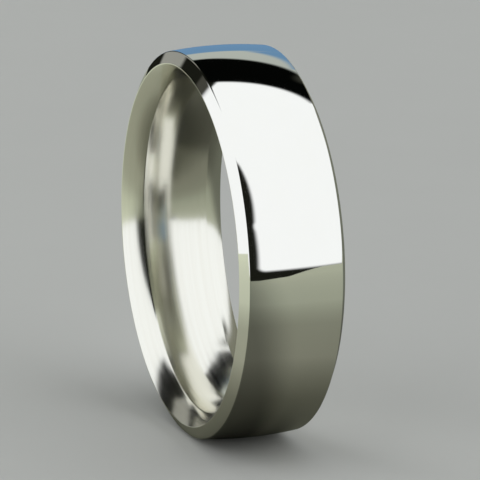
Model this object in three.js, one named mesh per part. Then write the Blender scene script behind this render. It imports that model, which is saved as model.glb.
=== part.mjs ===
// A man's comfort-fit wedding band: one seamless ring of polished white metal.
//
// Units are millimetres, +Z is up. The origin is the centre of the ring. The axis of the finger
// hole lies along Y, so the band stands on its outer face like a wheel, touching the ground at -Z.
// The band is the same from both sides.

import * as THREE from "three";

// Overall sizes.
const bandWidth = 6.0;
const boreRadius = 9.15; // tightest part of the finger hole: an 18.3 mm bore, US size 8 1/4
const wallThickness = 1.74; // from the bore to the top of the outer face, at mid-width

// The outer face is one shallow arc across the width, between the two bevels.
const faceDomeRadius = 21.5;

// Each side of the band is a steep bevel that leads from the outer face down to the finger hole.
const bevelWidth = 0.44; // along the axis, from the side of the band to the crease
const creaseRounding = 0.12; // radius where the bevel meets the outer face
const rimRounding = 0.06; // radius where the bevel meets the bore

// The bore is a comfort fit, convex towards the finger all the way across. From a narrow rounded
// crown in its middle it opens out on a shallow flare, then turns over a soft edge into a steeper
// lead-in that reaches the rim.
const boreCrownWidth = 0.6;
const boreCrownRadius = 4.8;
const boreFlareWidth = 3.7; // both flares and the crown together
const boreFlareRadius = 11.5;
const leadInRounding = 0.5; // radius where the flare meets the lead-in
const leadInSlope = (22.3 * Math.PI) / 180; // from the axis, where the lead-in starts
const leadInRadius = 3.8;

// The facets that stand for the turned surfaces. The count around is a multiple of 4 and the
// count across the face is odd, which keeps a flat facet at the bottom middle of the band.
const facetsAround = 72;
const facetsAcrossFace = 7;
const facetsPerCrease = 3;
const facetsPerRim = 3;
const facetsPerLeadIn = 4;
const facetsPerRounding = 2;
const facetsPerFlare = 3;
const facetsPerHalfCrown = 2;

// The cross-section is worked out in the plane of (distance from the axis, place along the axis),
// on the side of the band where y is positive. Every arc meets the next with a common tangent.

/** Points on an arc about (centreX, centreY), from one angle to another, both ends included. */
function arcPoints(centreX, centreY, radius, startAngle, endAngle, steps) {
  const points = [];
  for (let step = 0; step <= steps; step += 1) {
    const angle = startAngle + (endAngle - startAngle) * (step / steps);
    points.push(new THREE.Vector2(
      centreX + radius * Math.cos(angle),
      centreY + radius * Math.sin(angle),
    ));
  }
  return points;
}

/** The centre of the bore's next arc, which touches this one where the bore has this slope. */
function nextCentre(centre, radius, slope, nextRadius) {
  const shift = nextRadius - radius;
  return new THREE.Vector2(
    centre.x + shift * Math.cos(slope),
    centre.y - shift * Math.sin(slope),
  );
}

/** The cross-section of the half of the band with positive y, from mid-face round to mid-bore. */
function halfSection() {
  const halfWidth = bandWidth / 2;
  const crownRadius = boreRadius + wallThickness;

  // Outer face: an arc centred in the mid-plane of the band.
  const domeCentreX = crownRadius - faceDomeRadius;

  // Crease: a small circle that touches the face's arc from inside.
  const creaseY = halfWidth - bevelWidth;
  const creaseAngle = Math.asin(creaseY / (faceDomeRadius - creaseRounding));
  const creaseX = domeCentreX + (faceDomeRadius - creaseRounding) * Math.cos(creaseAngle);

  // Bore: crown, flare, rounding and lead-in, each taking over from the one before at the slope
  // where that one ends.
  const boreCrownCentre = new THREE.Vector2(boreRadius + boreCrownRadius, 0);
  const crownSlope = Math.asin(boreCrownWidth / 2 / boreCrownRadius);
  const flareCentre = nextCentre(boreCrownCentre, boreCrownRadius, crownSlope, boreFlareRadius);
  const flareSlope = Math.asin((boreFlareWidth / 2 - flareCentre.y) / boreFlareRadius);
  const roundingCentre = nextCentre(flareCentre, boreFlareRadius, flareSlope, leadInRounding);
  const leadInCentre = nextCentre(roundingCentre, leadInRounding, leadInSlope, leadInRadius);

  // Rim: a small circle that touches the side plane of the band and the bore's lead-in.
  const rimY = halfWidth - rimRounding;
  const rimSlope = Math.asin((rimY - leadInCentre.y) / (leadInRadius - rimRounding));
  const rimX = leadInCentre.x - (leadInRadius - rimRounding) * Math.cos(rimSlope);

  // Bevel: the straight line that touches both small circles on their outer side.
  const betweenCircles = Math.hypot(rimX - creaseX, rimY - creaseY);
  const directionToRim = Math.atan2(rimY - creaseY, rimX - creaseX);
  const bevelNormalAngle = directionToRim
    - Math.acos((creaseRounding - rimRounding) / betweenCircles);

  // The first facet of the face straddles the mid-plane, so the points start half a facet from it.
  const halfFacetAngle = creaseAngle / facetsAcrossFace;
  const wholeFaceFacets = (facetsAcrossFace - 1) / 2;
  const face = arcPoints(
    domeCentreX, 0, faceDomeRadius, halfFacetAngle, creaseAngle, wholeFaceFacets,
  );
  const crease = arcPoints(
    creaseX, creaseY, creaseRounding, creaseAngle, bevelNormalAngle, facetsPerCrease,
  );
  const rim = arcPoints(
    rimX, rimY, rimRounding, bevelNormalAngle, Math.PI - rimSlope, facetsPerRim,
  );
  const leadIn = arcPoints(
    leadInCentre.x, leadInCentre.y, leadInRadius,
    Math.PI - rimSlope, Math.PI - leadInSlope, facetsPerLeadIn,
  );
  const rounding = arcPoints(
    roundingCentre.x, roundingCentre.y, leadInRounding,
    Math.PI - leadInSlope, Math.PI - flareSlope, facetsPerRounding,
  );
  const flare = arcPoints(
    flareCentre.x, flareCentre.y, boreFlareRadius,
    Math.PI - flareSlope, Math.PI - crownSlope, facetsPerFlare,
  );
  const boreCrown = arcPoints(
    boreCrownCentre.x, 0, boreCrownRadius, Math.PI - crownSlope, Math.PI, facetsPerHalfCrown,
  );

  // Neighbouring arcs share an end point, which is kept once.
  return [
    ...face, ...crease.slice(1), ...rim,
    ...leadIn.slice(1), ...rounding.slice(1), ...flare.slice(1), ...boreCrown.slice(1),
  ];
}

/** The whole closed cross-section, run anticlockwise so that a lathe turns its faces outwards. */
function wholeSection() {
  const upper = halfSection();
  const lower = upper.map((point) => new THREE.Vector2(point.x, -point.y)).reverse();
  return [...lower, ...upper];
}

/** The band: the cross-section turned about Y, with a flat facet centred on +X, -X, +Z and -Z. */
function makeBand() {
  // Facets touch the turned surface at their middles, so the corners lie a little outside it.
  const cornerScale = 1 / Math.cos(Math.PI / facetsAround);
  const corners = wholeSection().map(
    (point) => new THREE.Vector2(point.x * cornerScale, point.y),
  );
  const firstCornerAngle = Math.PI / facetsAround;
  const geometry = new THREE.LatheGeometry(corners, facetsAround, firstCornerAngle);
  const polishedWhiteMetal = new THREE.MeshStandardMaterial({
    color: 0xd8d9d6,
    metalness: 1.0,
    roughness: 0.06,
  });
  const mesh = new THREE.Mesh(geometry, polishedWhiteMetal);
  mesh.name = "band";
  return mesh;
}

const weddingBand = new THREE.Group();
weddingBand.name = "wedding_band";
weddingBand.add(makeBand());

export default weddingBand;
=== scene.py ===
import math
import bpy
import numpy as np
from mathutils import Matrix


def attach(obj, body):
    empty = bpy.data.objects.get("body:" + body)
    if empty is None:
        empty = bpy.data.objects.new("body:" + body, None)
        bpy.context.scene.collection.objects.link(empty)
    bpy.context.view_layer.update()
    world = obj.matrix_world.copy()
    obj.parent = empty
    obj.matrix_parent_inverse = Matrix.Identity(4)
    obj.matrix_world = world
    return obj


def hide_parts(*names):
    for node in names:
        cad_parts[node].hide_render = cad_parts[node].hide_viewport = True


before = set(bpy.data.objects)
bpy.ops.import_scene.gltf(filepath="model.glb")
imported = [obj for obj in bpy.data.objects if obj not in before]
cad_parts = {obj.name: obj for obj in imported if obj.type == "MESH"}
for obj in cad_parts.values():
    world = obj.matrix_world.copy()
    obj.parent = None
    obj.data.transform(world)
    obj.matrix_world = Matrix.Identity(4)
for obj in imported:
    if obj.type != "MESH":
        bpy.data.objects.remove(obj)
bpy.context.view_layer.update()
scene = bpy.context.scene

# A camera with a long lens stands a little above bench height, turned from -Y most of the way to
# +X, so that the outer face and the -Y side of the finger hole both show. It aims just past the
# middle of the band.
VIEW_AZIMUTH = math.radians(70.4)
VIEW_ELEVATION = math.radians(13.91)
VIEW_DISTANCE = 0.2325
AIM_RIGHT = 0.000593
AIM_UP = 0.0000735
LENS_MM = 315
SENSOR_MM = 36

view_back = np.array([
    math.sin(VIEW_AZIMUTH) * math.cos(VIEW_ELEVATION),
    -math.cos(VIEW_AZIMUTH) * math.cos(VIEW_ELEVATION),
    math.sin(VIEW_ELEVATION),
])
view_right = np.array([math.cos(VIEW_AZIMUTH), math.sin(VIEW_AZIMUTH), 0.0])
view_up = np.cross(view_back, view_right)
camera_data = bpy.data.cameras.new("camera")
camera_data.lens = LENS_MM
camera_data.sensor_width = SENSOR_MM
camera_data.clip_start = 0.01
camera_data.clip_end = 4.0
camera = bpy.data.objects.new("camera", camera_data)
camera.location = view_right * AIM_RIGHT + view_up * AIM_UP + view_back * VIEW_DISTANCE
camera.rotation_euler = (math.pi / 2 - VIEW_ELEVATION, 0.0, VIEW_AZIMUTH)
scene.collection.objects.link(camera)
scene.camera = camera

# The wedding band: one seamless ring of palladium white gold, turned from a blank and polished
# until its face is a mirror. A steep bevel runs down each side. The finger hole is a comfort fit:
# a crown in its middle, a long flare to each side of it, and a steeper lead-in at each rim.
MM = 0.001
BAND_WIDTH = 6.0
BORE_RADIUS = 9.15
WALL_THICKNESS = 1.74
FACE_DOME_RADIUS = 21.5
BEVEL_WIDTH = 0.44
CREASE_ROUNDING = 0.12
RIM_ROUNDING = 0.06
BORE_CROWN_WIDTH = 0.6
BORE_CROWN_RADIUS = 4.8
BORE_FLARE_WIDTH = 3.7
BORE_FLARE_RADIUS = 11.5
LEAD_IN_ROUNDING = 0.5
LEAD_IN_SLOPE = math.radians(22.3)
LEAD_IN_RADIUS = 3.8
STEPS_AROUND = 540
STEPS_FACE = 22
STEPS_CREASE = 10
STEPS_BEVEL = 4
STEPS_RIM = 10
STEPS_LEAD_IN = 12
STEPS_ROUNDING = 6
STEPS_FLARE = 12
STEPS_CROWN = 6
CROWN_RADIUS = BORE_RADIUS + WALL_THICKNESS


def arc(centre, radius, start, stop, steps):
    """Rows of (distance from the axis, place along it, normal angle) on one arc.

    A point is the arc's centre plus its radius times (cosine, sine) of the normal angle, and the
    angle runs evenly from start to stop. The last point is left to the arc that follows."""
    angle = start + (stop - start) * np.arange(steps) / steps
    return np.stack([
        centre[0] + radius * np.cos(angle),
        centre[1] + radius * np.sin(angle),
        angle,
    ], axis=1)


def next_centre(centre, radius, slope, next_radius):
    """The centre of the bore's next arc, which touches this arc where the bore has this slope.

    Both centres lie on the normal there, so the next one is further off by the difference of the
    two radii."""
    shift = next_radius - radius
    return centre[0] + shift * math.cos(slope), centre[1] - shift * math.sin(slope)


def half_section():
    """The section from mid-face round to mid-bore, on the side where the axis is positive.

    Every arc is tangent to the next, so the normal angle only ever grows, from 0 at mid-face to
    pi at mid-bore. The bevel is the straight line that touches the crease and the rim."""
    half_width = BAND_WIDTH / 2
    dome = (CROWN_RADIUS - FACE_DOME_RADIUS, 0.0)
    crease_y = half_width - BEVEL_WIDTH
    crease_angle = math.asin(crease_y / (FACE_DOME_RADIUS - CREASE_ROUNDING))
    crease_x = dome[0] + (FACE_DOME_RADIUS - CREASE_ROUNDING) * math.cos(crease_angle)
    crown = (BORE_RADIUS + BORE_CROWN_RADIUS, 0.0)
    crown_slope = math.asin(BORE_CROWN_WIDTH / 2 / BORE_CROWN_RADIUS)
    flare = next_centre(crown, BORE_CROWN_RADIUS, crown_slope, BORE_FLARE_RADIUS)
    flare_slope = math.asin((BORE_FLARE_WIDTH / 2 - flare[1]) / BORE_FLARE_RADIUS)
    rounding = next_centre(flare, BORE_FLARE_RADIUS, flare_slope, LEAD_IN_ROUNDING)
    lead_in = next_centre(rounding, LEAD_IN_ROUNDING, LEAD_IN_SLOPE, LEAD_IN_RADIUS)
    rim_y = half_width - RIM_ROUNDING
    rim_slope = math.asin((rim_y - lead_in[1]) / (LEAD_IN_RADIUS - RIM_ROUNDING))
    rim_x = lead_in[0] - (LEAD_IN_RADIUS - RIM_ROUNDING) * math.cos(rim_slope)
    between = math.hypot(rim_x - crease_x, rim_y - crease_y)
    bevel_angle = math.atan2(rim_y - crease_y, rim_x - crease_x) - math.acos(
        (CREASE_ROUNDING - RIM_ROUNDING) / between
    )
    crease = (crease_x, crease_y)
    rim = (rim_x, rim_y)
    bevel_start = arc(crease, CREASE_ROUNDING, bevel_angle, bevel_angle, 1)
    bevel_stop = arc(rim, RIM_ROUNDING, bevel_angle, bevel_angle, 1)
    along = np.arange(STEPS_BEVEL)[:, None] / STEPS_BEVEL
    in_bore = math.pi - np.array([rim_slope, LEAD_IN_SLOPE, flare_slope, crown_slope])
    return np.concatenate([
        arc(dome, FACE_DOME_RADIUS, 0.0, crease_angle, STEPS_FACE),
        arc(crease, CREASE_ROUNDING, crease_angle, bevel_angle, STEPS_CREASE),
        bevel_start + (bevel_stop - bevel_start) * along,
        arc(rim, RIM_ROUNDING, bevel_angle, in_bore[0], STEPS_RIM),
        arc(lead_in, LEAD_IN_RADIUS, in_bore[0], in_bore[1], STEPS_LEAD_IN),
        arc(rounding, LEAD_IN_ROUNDING, in_bore[1], in_bore[2], STEPS_ROUNDING),
        arc(flare, BORE_FLARE_RADIUS, in_bore[2], in_bore[3], STEPS_FLARE),
        arc(crown, BORE_CROWN_RADIUS, in_bore[3], math.pi, STEPS_CROWN),
        arc(crown, BORE_CROWN_RADIUS, math.pi, math.pi, 1),
    ])


def band_surface():
    """The whole section carried once round the finger hole's axis, as a closed grid.

    At turn t a section point (distance r, place y, normal angle n) lies at (r sin t, y, r cos t),
    and its normal is (cos n sin t, sin n, cos n cos t). The negative side mirrors the positive
    one. Returns points and normals in rows around by columns across, and each column's normal
    angle."""
    half = half_section()
    mirrored = half[1:-1][::-1] * np.array([1.0, -1.0, -1.0])
    section = np.concatenate([half, mirrored])
    turn = (2 * math.pi / STEPS_AROUND * np.arange(STEPS_AROUND))[:, None]
    r, y, n = section.T[:, None, :]
    points = np.stack([r * np.sin(turn), y + 0 * turn, r * np.cos(turn)], axis=-1)
    normals = np.stack(
        [np.cos(n) * np.sin(turn), np.sin(n) + 0 * turn, np.cos(n) * np.cos(turn)], axis=-1
    )
    return points * MM, normals, section[:, 2]


def grid_faces(rows, columns):
    """Four corners for each cell of a grid that is closed both ways.

    Cell (i, j) joins points (i, j), (i+1, j), (i+1, j+1) and (i, j+1), and the last row and
    column join the first. This order turns the faces of the band outwards."""
    i, j = np.meshgrid(np.arange(rows), np.arange(columns), indexing="ij")
    i_next = (i + 1) % rows
    j_next = (j + 1) % columns
    corners = [
        i * columns + j,
        i_next * columns + j,
        i_next * columns + j_next,
        i * columns + j_next,
    ]
    return np.stack(corners, axis=-1).reshape(-1, 4)


def mesh_object(name, points, faces):
    """A smooth-shaded mesh object at the origin, from points and faces of equal corner count."""
    mesh = bpy.data.meshes.new(name)
    mesh.from_pydata(points.reshape(-1, 3).tolist(), [], faces.tolist())
    mesh.polygons.foreach_set("use_smooth", np.ones(len(faces), dtype=bool))
    mesh.update()
    made = bpy.data.objects.new(name, mesh)
    scene.collection.objects.link(made)
    return made


def linear(hex_colour):
    """An sRGB hex colour as linear red, green, blue and an alpha of one."""
    value = np.array([int(hex_colour[i:i + 2], 16) for i in (1, 3, 5)]) / 255
    low = value / 12.92
    high = ((value + 0.055) / 1.055) ** 2.4
    return (*np.where(value <= 0.04045, low, high).tolist(), 1.0)


def add_node(tree, kind, settings, inputs):
    """Adds one node, sets its properties, then fills its inputs with numbers or links."""
    made = tree.nodes.new(kind)
    for key, value in settings.items():
        setattr(made, key, value)
    for key, value in inputs.items():
        if isinstance(value, bpy.types.NodeSocket):
            tree.links.new(value, made.inputs[key])
        else:
            made.inputs[key].default_value = value
    return made


def new_tree(material):
    """The material's empty node tree."""
    material.use_nodes = True
    material.node_tree.nodes.clear()
    return material.node_tree


# Palladium white gold buffed with rouge: a bright, nearly neutral mirror with a breath of warmth,
# in which a little polishing haze, in patches of 2 to 3 mm, spreads the reflections.
POLISHED_COLOURS = ["#f1f0ec", "#efeee8"]
POLISHED_ROUGHNESS = [0.02, 0.045]
HAZE_PATCH = 2.381 * MM
polished = bpy.data.materials.new("rouge_polished_white_gold")
tree = new_tree(polished)
place = add_node(tree, "ShaderNodeTexCoord", {}, {})
haze = add_node(tree, "ShaderNodeTexNoise", {}, {
    "Vector": place.outputs["Object"], "Scale": 1 / HAZE_PATCH, "Detail": 3.0, "Roughness": 0.6,
})
warmth = add_node(tree, "ShaderNodeMix", {"data_type": "RGBA"}, {
    "Factor": haze.outputs["Fac"], 6: linear(POLISHED_COLOURS[0]), 7: linear(POLISHED_COLOURS[1]),
})
spread = add_node(tree, "ShaderNodeMapRange", {}, {
    "Value": haze.outputs["Fac"], "From Min": 0.3, "From Max": 0.7,
    "To Min": POLISHED_ROUGHNESS[0], "To Max": POLISHED_ROUGHNESS[1],
})
metal = add_node(tree, "ShaderNodeBsdfPrincipled", {}, {
    "Base Color": warmth.outputs[2], "Metallic": 1.0, "Roughness": spread.outputs["Result"],
})
add_node(tree, "ShaderNodeOutputMaterial", {}, {"Surface": metal.outputs["BSDF"]})

# Palladium white gold finished on a felt bob while the band turns, in the finger hole: a shade
# softer than the face, with fine lines that run round the hole. Real lines are a few hundredths
# of a millimetre apart; these are 0.2 mm apart, to show.
BOBBED_COLOURS = ["#f0efe7", "#ebe9df"]
BOBBED_ROUGHNESS = [0.13, 0.17]
LINE_SPACING = 0.2 * MM
LINE_LENGTH = 16.6667 * MM
LINE_HEIGHT = 0.1 * MM
LINE_STRENGTH = 0.02
bobbed = bpy.data.materials.new("felt_bobbed_white_gold")
tree = new_tree(bobbed)
place = add_node(tree, "ShaderNodeTexCoord", {}, {})
stretched = add_node(tree, "ShaderNodeMapping", {}, {
    "Vector": place.outputs["Object"],
    "Scale": (1 / LINE_LENGTH, 1 / LINE_SPACING, 1 / LINE_LENGTH),
})
lines = add_node(tree, "ShaderNodeTexNoise", {}, {
    "Vector": stretched.outputs["Vector"], "Scale": 1.0, "Detail": 2.0, "Roughness": 0.5,
})
raised = add_node(tree, "ShaderNodeBump", {}, {
    "Height": lines.outputs["Fac"], "Strength": LINE_STRENGTH, "Distance": LINE_HEIGHT,
})
warmth = add_node(tree, "ShaderNodeMix", {"data_type": "RGBA"}, {
    "Factor": lines.outputs["Fac"], 6: linear(BOBBED_COLOURS[0]), 7: linear(BOBBED_COLOURS[1]),
})
spread = add_node(tree, "ShaderNodeMapRange", {}, {
    "Value": lines.outputs["Fac"], "From Min": 0.3, "From Max": 0.7,
    "To Min": BOBBED_ROUGHNESS[0], "To Max": BOBBED_ROUGHNESS[1],
})
metal = add_node(tree, "ShaderNodeBsdfPrincipled", {}, {
    "Base Color": warmth.outputs[2], "Metallic": 1.0, "Roughness": spread.outputs["Result"],
    "Normal": raised.outputs["Normal"],
})
add_node(tree, "ShaderNodeOutputMaterial", {}, {"Surface": metal.outputs["BSDF"]})

band_points, band_normals, normal_angles = band_surface()
band = mesh_object(
    "polished_band", band_points, grid_faces(STEPS_AROUND, len(normal_angles))
)
band.data.normals_split_custom_set_from_vertices(band_normals.reshape(-1, 3).tolist())
band.data.materials.append(polished)
band.data.materials.append(bobbed)
# A face of the grid belongs to the bore where its section's normal angle passes this one, so most
# of the rim's small rounding keeps the polish.
BORE_NORMAL_ANGLE = math.radians(135)
bore_faces = (np.abs(normal_angles) > BORE_NORMAL_ANGLE).astype(np.int32)
band.data.polygons.foreach_set("material_index", np.tile(bore_faces, STEPS_AROUND))
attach(band, "root")
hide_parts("band")

# The floor is a plain pale table top of board, painted matt and very slightly mottled. It touches
# the band at the lowest point of its face. Reflections in the metal don't see it.
FLOOR_RADIUS = 1.2
FLOOR_CORNERS = 120
FLOOR_HEIGHT = -CROWN_RADIUS * MM
FLOOR_COLOURS = ["#cdcdc8", "#d1d1cc"]
MOTTLE_PATCH = 16.6667 * MM


def level_disc(name, radius, height):
    """A level polygon about the Z axis, with a corner at (r sin a, -r cos a) for each azimuth a."""
    turn = 2 * math.pi / FLOOR_CORNERS * np.arange(FLOOR_CORNERS)
    points = np.stack([
        radius * np.sin(turn), -radius * np.cos(turn), np.full(FLOOR_CORNERS, height),
    ], axis=1)
    return mesh_object(name, points, np.arange(FLOOR_CORNERS)[None, :])


floor = level_disc("floor", np.full(FLOOR_CORNERS, FLOOR_RADIUS), FLOOR_HEIGHT)
table_top = bpy.data.materials.new("matt_painted_board")
tree = new_tree(table_top)
place = add_node(tree, "ShaderNodeTexCoord", {}, {})
mottle = add_node(tree, "ShaderNodeTexNoise", {}, {
    "Vector": place.outputs["Object"], "Scale": 1 / MOTTLE_PATCH, "Detail": 4.0, "Roughness": 0.6,
})
tone = add_node(tree, "ShaderNodeMix", {"data_type": "RGBA"}, {
    "Factor": mottle.outputs["Fac"], 6: linear(FLOOR_COLOURS[0]), 7: linear(FLOOR_COLOURS[1]),
})
matt = add_node(tree, "ShaderNodeBsdfPrincipled", {}, {
    "Base Color": tone.outputs[2], "Roughness": 0.85, "Specular IOR Level": 0.2,
})
add_node(tree, "ShaderNodeOutputMaterial", {}, {"Surface": matt.outputs["BSDF"]})
floor.data.materials.append(table_top)
floor.visible_glossy = False

# What the metal reflects below the horizon is a jeweller's slate board of riven stone, with its
# edge nearest on the +X side. Its colour is darker under the band, painted shade where the band's
# shadow falls, and paler further off, a painted sheen where the stone catches the scrims at a low
# angle.
# Only reflections see it, so the floor itself stays plain.
#
# Its edge is a reach in metres at each azimuth in degrees, where 0 is -Y and 90 is +X. Its tones,
# with the painted shade and sheen in them, go by the distance from the band's middle, in metres.
BOARD_AZIMUTHS = [-180, -60, -9, 60, 96, 106, 111, 117, 125, 180]
BOARD_REACH = [0.18, 0.15, 0.125, 0.09, 0.083, 0.096, 0.131, 0.173, 0.18, 0.18]
BOARD_LIFT = 0.01 * MM
BOARD_TONES_WITH_PAINTED_SHADE = [
    (0.0095, "#5c5d51"), (0.0138, "#6f6f60"), (0.018, "#989887"), (0.025, "#9c9d8b"),
    (0.036, "#bcbfaa"), (0.1, "#ced1b9"),
]
# The board's light and shade are painted into its colour and change with the azimuth. Each stretch:
# its middle, the angles from there at which it starts to fade and is gone, and the share of the
# light it gets. The three are the painted shade of whoever stands at the camera, the painted light
# of the scrim at -Y, and the painted shade of the dark cards.
BOARD_PAINTED_LIGHT = [(74, 14, 30, 0.45), (-20, 45, 75, 1.6), (-140, 30, 50, 0.4)]
board_azimuths = (360.0 / FLOOR_CORNERS * np.arange(FLOOR_CORNERS) + 180.0) % 360.0 - 180.0
board = level_disc(
    "slate_board", np.interp(board_azimuths, BOARD_AZIMUTHS, BOARD_REACH),
    FLOOR_HEIGHT + BOARD_LIFT,
)
slate = bpy.data.materials.new("riven_slate_with_painted_shade")
tree = new_tree(slate)
place = add_node(tree, "ShaderNodeTexCoord", {}, {})
reach = add_node(tree, "ShaderNodeVectorMath", {"operation": "LENGTH"}, {
    0: place.outputs["Object"],
})
share = add_node(tree, "ShaderNodeMath", {"operation": "DIVIDE"}, {
    0: reach.outputs["Value"], 1: BOARD_TONES_WITH_PAINTED_SHADE[-1][0],
})
# This ramp paints the shade under the band and the sheen further off into the stone's colour.
painted_shade_ramp = add_node(tree, "ShaderNodeValToRGB", {}, {"Fac": share.outputs[0]})
ramp = painted_shade_ramp.color_ramp
# A new ramp has a stop at each end, which take the first tone and the last.
for distance, colour in BOARD_TONES_WITH_PAINTED_SHADE[1:-1]:
    stop = ramp.elements.new(distance / BOARD_TONES_WITH_PAINTED_SHADE[-1][0])
    stop.color = linear(colour)
ramp.elements[0].position = BOARD_TONES_WITH_PAINTED_SHADE[0][0] / BOARD_TONES_WITH_PAINTED_SHADE[-1][0]
ramp.elements[0].color = linear(BOARD_TONES_WITH_PAINTED_SHADE[0][1])
ramp.elements[-1].color = linear(BOARD_TONES_WITH_PAINTED_SHADE[-1][1])
axes = add_node(tree, "ShaderNodeSeparateXYZ", {}, {"Vector": place.outputs["Object"]})
backwards = add_node(tree, "ShaderNodeMath", {"operation": "MULTIPLY"}, {
    0: axes.outputs["Y"], 1: -1.0,
})
azimuth = add_node(tree, "ShaderNodeMath", {"operation": "ARCTAN2"}, {
    0: axes.outputs["X"], 1: backwards.outputs[0],
})
stone_with_painted_light = painted_shade_ramp.outputs["Color"]
# Each stretch scales the stone's colour: painted light and painted shade by azimuth.
for middle, inside, outside, share_of_light in BOARD_PAINTED_LIGHT:
    offset = add_node(tree, "ShaderNodeMath", {"operation": "SUBTRACT"}, {
        0: azimuth.outputs[0], 1: math.radians(middle),
    })
    wrapped = add_node(tree, "ShaderNodeMath", {"operation": "WRAP"}, {
        0: offset.outputs[0], 1: math.pi, 2: -math.pi,
    })
    aside = add_node(tree, "ShaderNodeMath", {"operation": "ABSOLUTE"}, {
        0: wrapped.outputs[0],
    })
    gain = add_node(tree, "ShaderNodeMapRange", {"interpolation_type": "SMOOTHSTEP"}, {
        "Value": aside.outputs[0], "From Min": math.radians(inside),
        "From Max": math.radians(outside), "To Min": share_of_light, "To Max": 1.0,
    })
    stone_with_painted_light = add_node(tree, "ShaderNodeVectorMath", {"operation": "SCALE"}, {
        0: stone_with_painted_light, "Scale": gain.outputs["Result"],
    }).outputs[0]
stone = add_node(tree, "ShaderNodeBsdfPrincipled", {}, {
    "Base Color": stone_with_painted_light, "Roughness": 0.9, "Specular IOR Level": 0.1,
})
add_node(tree, "ShaderNodeOutputMaterial", {}, {"Surface": stone.outputs["BSDF"]})
board.data.materials.append(slate)
board.visible_camera = False
board.visible_diffuse = False
board.visible_transmission = False
board.visible_volume_scatter = False
board.visible_shadow = False

# The studio is the tent a jeweller shoots in: a white scrim at -Y, white scrims from +X round by
# +Y to -X, and a white roof. Dark, grey and blue cards close the gap at -X, the camera looks in
# through a dark gap towards +X, and all their edges draw crisp shapes in the polished metal.
#
# Each panel: azimuth and elevation of its middle, half its width and height, tilt (anticlockwise),
# corner radius, edge softness, colour. Angles are in degrees: azimuth 0 is -Y and 90 is +X, and
# elevation 90 is straight up. Later panels cover earlier ones.
WHITE = "#f9fcff"
BLACK = "#0d0e0b"
GREY = "#b4bab4"
BLUE = "#6a90b4"
SCRIM_BRIGHTNESS = 1.1
PANELS = [
    # The scrim at -Y, and a dark card across its upper corner.
    ((2.5, 25), (50, 55), 0, 2.5, 2.5, WHITE),
    ((-43, 59), (26, 12), 48.2, 4, 4.0, BLACK),
    # A strip above the camera's gap, and the scrims from +X round by +Y to -X.
    ((77, 70), (34, 11), 0, 2, 2.0, WHITE),
    ((172.5, 10.2), (74.5, 14.1), 0, 2.5, 0.9, WHITE),
    ((108.4, 39.5), (8, 22), -7, 2.5, 0.9, WHITE),
    ((176.5, 47.5), (70.5, 32.5), 0, 2, 1.0, WHITE),
    ((171.5, 70), (75.5, 10), 0, 1.5, 1.0, WHITE),
    # The black card at -X, and the grey, blue and dull cards in front of it and beside it.
    ((-131, 14), (29, 44), 0, 1.5, 1.0, "#040504"),
    ((-107, 11.5), (5.5, 17.8), 0, 1, 1.0, GREY),
    ((-124.4, 28.1), (22, 10), -32.2, 1, 1.0, GREY),
    ((-111.5, -6), (9.5, 24), 0, 1, 1.0, BLUE),
    ((-120.5, 27.4), (12, 3), -57, 1, 1.0, BLUE),
    ((-126.5, -5), (6, 25), 0, 2, 2.0, "#7c7d70"),
    ((-148.5, 7.5), (16.5, 38.5), 0, 5, 5.0, "#7c7d70"),
    ((-171, 43), (5, 13), 0, 5, 4.0, "#55564f"),
    ((-76.5, 6), (8.5, 36), 0, 3, 1.5, "#989993"),
    ((-50.5, -3), (3, 27), 0, 1, 1.0, "#45453f"),
    # The roof.
    ((0, 94), (200, 26), 0, 4, 4.0, WHITE),
]
TENT_GAPS = "#1a1b16"

world = bpy.data.worlds.new("jewellers_tent")
scene.world = world
world.use_nodes = True
tree = world.node_tree
tree.nodes.clear()
place = add_node(tree, "ShaderNodeTexCoord", {}, {})
axes = add_node(tree, "ShaderNodeSeparateXYZ", {}, {"Vector": place.outputs["Generated"]})
backwards = add_node(tree, "ShaderNodeMath", {"operation": "MULTIPLY"}, {
    0: axes.outputs["Y"], 1: -1.0,
})
azimuth = add_node(tree, "ShaderNodeMath", {"operation": "ARCTAN2"}, {
    0: axes.outputs["X"], 1: backwards.outputs[0],
})
elevation = add_node(tree, "ShaderNodeMath", {"operation": "ARCSINE"}, {
    0: axes.outputs["Z"],
})
radians = add_node(tree, "ShaderNodeCombineXYZ", {}, {
    "X": azimuth.outputs[0], "Y": elevation.outputs[0],
})
degrees = add_node(tree, "ShaderNodeVectorMath", {"operation": "SCALE"}, {
    0: radians.outputs[0], "Scale": math.degrees(1.0),
})
light = linear(TENT_GAPS)
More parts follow.
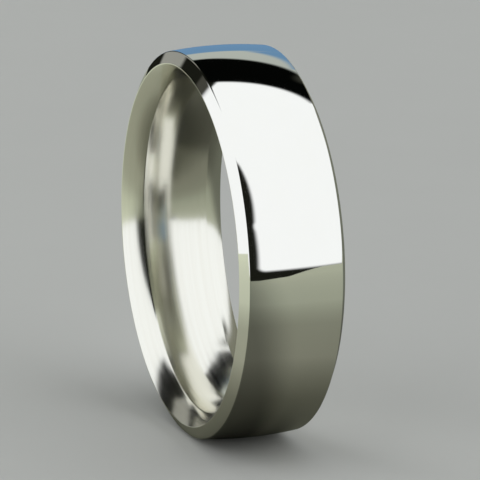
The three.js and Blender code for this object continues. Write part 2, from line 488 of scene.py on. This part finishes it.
# A panel's mask falls from 1 to 0 with the distance outside its inner rectangle, the panel less
# its corner radius, so its corners come out round.
for middle, half_size, tilt, corner, softness, colour in PANELS:
    offset = add_node(tree, "ShaderNodeVectorMath", {"operation": "SUBTRACT"}, {
        0: degrees.outputs[0], 1: (*middle, 0.0),
    })
    wrapped = add_node(tree, "ShaderNodeVectorMath", {"operation": "WRAP"}, {
        0: offset.outputs[0], 1: (180.0, 180.0, 180.0), 2: (-180.0, -180.0, -180.0),
    })
    turned = add_node(tree, "ShaderNodeVectorRotate", {"rotation_type": "Z_AXIS"}, {
        "Vector": wrapped.outputs[0], "Angle": -math.radians(tilt),
    })
    mirrored = add_node(tree, "ShaderNodeVectorMath", {"operation": "ABSOLUTE"}, {
        0: turned.outputs[0],
    })
    beyond = add_node(tree, "ShaderNodeVectorMath", {"operation": "SUBTRACT"}, {
        0: mirrored.outputs[0], 1: (half_size[0] - corner, half_size[1] - corner, 0.0),
    })
    outside = add_node(tree, "ShaderNodeVectorMath", {"operation": "MAXIMUM"}, {
        0: beyond.outputs[0], 1: (0.0, 0.0, 0.0),
    })
    distance = add_node(tree, "ShaderNodeVectorMath", {"operation": "LENGTH"}, {
        0: outside.outputs[0],
    })
    mask = add_node(tree, "ShaderNodeMapRange", {"interpolation_type": "SMOOTHSTEP"}, {
        "Value": distance.outputs["Value"], "From Min": corner - softness,
        "From Max": corner + softness, "To Min": 1.0, "To Max": 0.0,
    })
    brightness = SCRIM_BRIGHTNESS if colour == WHITE else 1.0
    bright = [channel * brightness for channel in linear(colour)[:3]]
    light = add_node(tree, "ShaderNodeMix", {"data_type": "RGBA"}, {
        "Factor": mask.outputs["Result"], 6: light, 7: (*bright, 1.0),
    }).outputs[2]
glow = add_node(tree, "ShaderNodeBackground", {}, {"Color": light, "Strength": 1.0})
add_node(tree, "ShaderNodeOutputWorld", {}, {"Surface": glow.outputs["Background"]})
scene.view_settings.view_transform = "Standard"

# Just inside the floor's edge stands a plain wall of pale paper, a dome that only the camera sees,
# so that low views have the same plain ground behind the band. It runs from just below the
# horizon to a small hole at the top, by angle.
WALL_RADIUS = 1.15
WALL_ROWS = 24
WALL_COLUMNS = 96
WALL_FOOT = -0.02
WALL_TOP = math.pi / 2 - 0.01
WALL_COLOUR = "#c6c6c1"
rise = np.linspace(WALL_FOOT, WALL_TOP, WALL_ROWS)[:, None]
swing = (2 * math.pi / WALL_COLUMNS * np.arange(WALL_COLUMNS))[None, :]
wall_points = WALL_RADIUS * np.stack([
    np.cos(rise) * np.cos(swing), np.cos(rise) * np.sin(swing), np.sin(rise) + 0 * swing,
], axis=-1)
wall_faces = grid_faces(WALL_ROWS, WALL_COLUMNS)[:-WALL_COLUMNS]
wall = mesh_object("wall", wall_points, wall_faces)
paper = bpy.data.materials.new("plain_paper")
tree = new_tree(paper)
shine = add_node(tree, "ShaderNodeEmission", {}, {"Color": linear(WALL_COLOUR), "Strength": 1.0})
add_node(tree, "ShaderNodeOutputMaterial", {}, {"Surface": shine.outputs["Emission"]})
wall.data.materials.append(paper)
wall.visible_diffuse = False
wall.visible_glossy = False
wall.visible_transmission = False
wall.visible_volume_scatter = False
wall.visible_shadow = False
